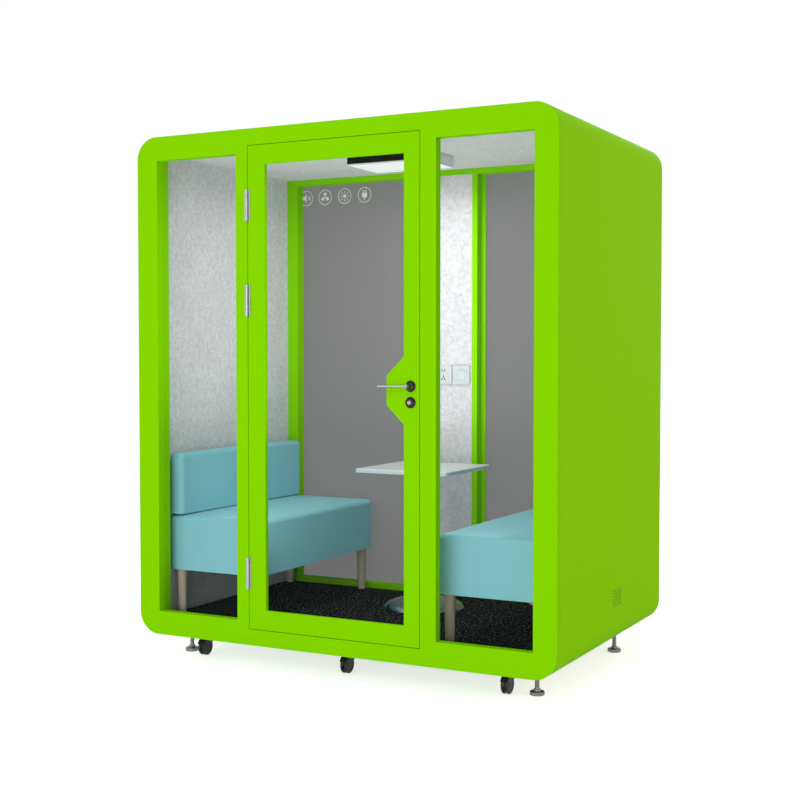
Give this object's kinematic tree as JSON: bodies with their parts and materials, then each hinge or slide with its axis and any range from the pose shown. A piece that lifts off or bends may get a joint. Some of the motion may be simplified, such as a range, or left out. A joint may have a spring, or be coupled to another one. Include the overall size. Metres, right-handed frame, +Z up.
{
  "type": "acoustic office pod",
  "caption": "Free-standing acoustic meeting pod with rounded painted shell, glazed front with hinged door, facing benches, pedestal table, ceiling lamp, casters and levelling feet.",
  "frame": {"origin": "centre of the footprint, on the ground under the levelling feet; the footprint is the bounding box of the whole pod with its outer door handle", "axes": "+Z up, +X to the right of someone who faces the door from outside, +Y from the door towards the back wall"},
  "size_m": [1.982, 1.3862, 2.3],
  "materials": {
    "painted_shell": "satin",
    "painted_inside": "satin",
    "wall_felt": "matte",
    "carpet": "matte",
    "clear_glass": "polished",
    "grey_glass": "satin",
    "hinge_steel": "satin",
    "polished_steel": "polished",
    "lock_black": "gloss",
    "lamp_white": "satin",
    "diffuser_white": "matte",
    "black_plastic": "satin",
    "white_plastic": "satin",
    "table_white": "satin",
    "pedestal_grey": "satin",
    "blue_fabric": "matte",
    "leg_wood": "matte",
    "caster_black": "satin",
    "foot_steel": "satin"
  },
  "bodies": {
    "pod": {"left_side_shell": "painted_shell", "right_side_shell": "painted_shell", "roof_panel": "painted_shell", "base_frame": "painted_shell", "rear_panel": "painted_shell", "front_frame": "painted_shell", "strike_block": "painted_shell", "door_stop": "painted_inside", "left_window_pane": "clear_glass", "right_window_pane": "clear_glass", "hinge_top_frame_leaf": "hinge_steel", "hinge_middle_frame_leaf": "hinge_steel", "hinge_bottom_frame_leaf": "hinge_steel", "left_wall_felt": "wall_felt", "right_wall_felt": "wall_felt", "ceiling_felt": "wall_felt", "back_felt_panel": "wall_felt", "carpet": "carpet", "back_frame": "painted_inside", "back_pane": "grey_glass", "lamp_housing": "lamp_white", "lamp_diffuser": "diffuser_white", "socket_plate": "white_plastic", "switch_plate": "white_plastic", "table_top": "table_white", "table_pedestal": "pedestal_grey", "left_bench_base": "leg_wood", "right_bench_base": "leg_wood", "left_seat_cushion": "blue_fabric", "right_seat_cushion": "blue_fabric", "left_back_cushion": "blue_fabric", "right_back_cushion": "blue_fabric"},
    "door": {"door_leaf": "painted_shell", "door_pane": "clear_glass", "lock_case": "lock_black", "hinge_top_door_leaf": "hinge_steel", "hinge_middle_door_leaf": "hinge_steel", "hinge_bottom_door_leaf": "hinge_steel"},
    "lever_handles": {"lever_handles": "polished_steel"},
    "latch": {"latch_bolt": "polished_steel"},
    "thumb_turn": {"thumb_turn": "polished_steel"},
    "dead_bolt": {"dead_bolt": "polished_steel"},
    "light_switch": {"switch_button": "white_plastic"},
    "fan": {"fan_rotor": "black_plastic"},
    "caster_front_left_fork": {"caster_front_left_yoke": "caster_black"},
    "caster_front_left_wheel_pair": {"caster_front_left_wheels": "caster_black"},
    "caster_front_middle_fork": {"caster_front_middle_yoke": "caster_black"},
    "caster_front_middle_wheel_pair": {"caster_front_middle_wheels": "caster_black"},
    "caster_front_right_fork": {"caster_front_right_yoke": "caster_black"},
    "caster_front_right_wheel_pair": {"caster_front_right_wheels": "caster_black"},
    "caster_rear_left_fork": {"caster_rear_left_yoke": "caster_black"},
    "caster_rear_left_wheel_pair": {"caster_rear_left_wheels": "caster_black"},
    "caster_rear_middle_fork": {"caster_rear_middle_yoke": "caster_black"},
    "caster_rear_middle_wheel_pair": {"caster_rear_middle_wheels": "caster_black"},
    "caster_rear_right_fork": {"caster_rear_right_yoke": "caster_black"},
    "caster_rear_right_wheel_pair": {"caster_rear_right_wheels": "caster_black"},
    "levelling_foot_front_left": {"levelling_foot_front_left": "foot_steel"},
    "levelling_foot_front_right": {"levelling_foot_front_right": "foot_steel"},
    "levelling_foot_rear_left": {"levelling_foot_rear_left": "foot_steel"},
    "levelling_foot_rear_right": {"levelling_foot_rear_right": "foot_steel"}
  },
  "joints": [
    {"name": "door_swing", "type": "hinge", "parent": "pod", "child": "door", "pos_m": [-0.40675, -0.64885, 1.2], "axis": [0, 0, -1], "range_deg": [0, 105]},
    {"name": "lever_turn", "type": "hinge", "parent": "door", "child": "lever_handles", "pos_m": [0.369, -0.62185, 1.221], "axis": [0, -1, 0], "range_deg": [0, 40], "stiffness_Nm_per_rad": 2, "springref_deg": -22.92},
    {"name": "latch_slide", "type": "slide", "parent": "door", "child": "latch", "axis": [-1, 0, 0], "range_m": [0, 0.01]},
    {"name": "thumb_turning", "type": "hinge", "parent": "door", "child": "thumb_turn", "pos_m": [0.369, -0.62185, 1.156], "axis": [0, 1, 0], "range_deg": [0, 90]},
    {"name": "dead_bolt_slide", "type": "slide", "parent": "door", "child": "dead_bolt", "axis": [1, 0, 0], "range_m": [0, 0.026]},
    {"name": "switch_press", "type": "slide", "parent": "pod", "child": "light_switch", "axis": [0, 1, 0], "range_m": [0, 0.002], "stiffness_N_per_m": 600, "springref_m": -0.001},
    {"name": "fan_spin", "type": "hinge", "parent": "pod", "child": "fan", "pos_m": [0, -0.02235, 2.281], "axis": [0, 0, 1], "continuous": true},
    {"name": "caster_front_left_swivel", "type": "hinge", "parent": "pod", "child": "caster_front_left_fork", "pos_m": [-0.733, -0.49285, 0.09], "axis": [0, 0, 1], "continuous": true},
    {"name": "caster_front_left_roll", "type": "hinge", "parent": "caster_front_left_fork", "child": "caster_front_left_wheel_pair", "pos_m": [-0.733, -0.50885, 0.039], "axis": [1, 0, 0], "continuous": true},
    {"name": "caster_front_middle_swivel", "type": "hinge", "parent": "pod", "child": "caster_front_middle_fork", "pos_m": [0, -0.49285, 0.09], "axis": [0, 0, 1], "continuous": true},
    {"name": "caster_front_middle_roll", "type": "hinge", "parent": "caster_front_middle_fork", "child": "caster_front_middle_wheel_pair", "pos_m": [0, -0.50885, 0.039], "axis": [1, 0, 0], "continuous": true},
    {"name": "caster_front_right_swivel", "type": "hinge", "parent": "pod", "child": "caster_front_right_fork", "pos_m": [0.733, -0.49285, 0.09], "axis": [0, 0, 1], "continuous": true},
    {"name": "caster_front_right_roll", "type": "hinge", "parent": "caster_front_right_fork", "child": "caster_front_right_wheel_pair", "pos_m": [0.733, -0.50885, 0.039], "axis": [1, 0, 0], "continuous": true},
    {"name": "caster_rear_left_swivel", "type": "hinge", "parent": "pod", "child": "caster_rear_left_fork", "pos_m": [-0.733, 0.51215, 0.09], "axis": [0, 0, 1], "continuous": true},
    {"name": "caster_rear_left_roll", "type": "hinge", "parent": "caster_rear_left_fork", "child": "caster_rear_left_wheel_pair", "pos_m": [-0.733, 0.49615, 0.039], "axis": [1, 0, 0], "continuous": true},
    {"name": "caster_rear_middle_swivel", "type": "hinge", "parent": "pod", "child": "caster_rear_middle_fork", "pos_m": [0, 0.51215, 0.09], "axis": [0, 0, 1], "continuous": true},
    {"name": "caster_rear_middle_roll", "type": "hinge", "parent": "caster_rear_middle_fork", "child": "caster_rear_middle_wheel_pair", "pos_m": [0, 0.49615, 0.039], "axis": [1, 0, 0], "continuous": true},
    {"name": "caster_rear_right_swivel", "type": "hinge", "parent": "pod", "child": "caster_rear_right_fork", "pos_m": [0.733, 0.51215, 0.09], "axis": [0, 0, 1], "continuous": true},
    {"name": "caster_rear_right_roll", "type": "hinge", "parent": "caster_rear_right_fork", "child": "caster_rear_right_wheel_pair", "pos_m": [0.733, 0.49615, 0.039], "axis": [1, 0, 0], "continuous": true},
    {"name": "levelling_foot_front_left_turn", "type": "hinge", "parent": "pod", "child": "levelling_foot_front_left", "pos_m": [-0.841, -0.46185, 0.06], "axis": [0, 0, 1], "continuous": true},
    {"name": "levelling_foot_front_right_turn", "type": "hinge", "parent": "pod", "child": "levelling_foot_front_right", "pos_m": [0.841, -0.46185, 0.06], "axis": [0, 0, 1], "continuous": true},
    {"name": "levelling_foot_rear_left_turn", "type": "hinge", "parent": "pod", "child": "levelling_foot_rear_left", "pos_m": [-0.869, 0.40615, 0.06], "axis": [0, 0, 1], "continuous": true},
    {"name": "levelling_foot_rear_right_turn", "type": "hinge", "parent": "pod", "child": "levelling_foot_rear_right", "pos_m": [0.869, 0.40615, 0.06], "axis": [0, 0, 1], "continuous": true}
  ],
  "couplings": [
    {"joint": "latch_slide", "follows": "lever_turn", "m_per_rad": 0.0143},
    {"joint": "thumb_turning", "follows": "dead_bolt_slide", "rad_per_m": 60.415}
  ]
}
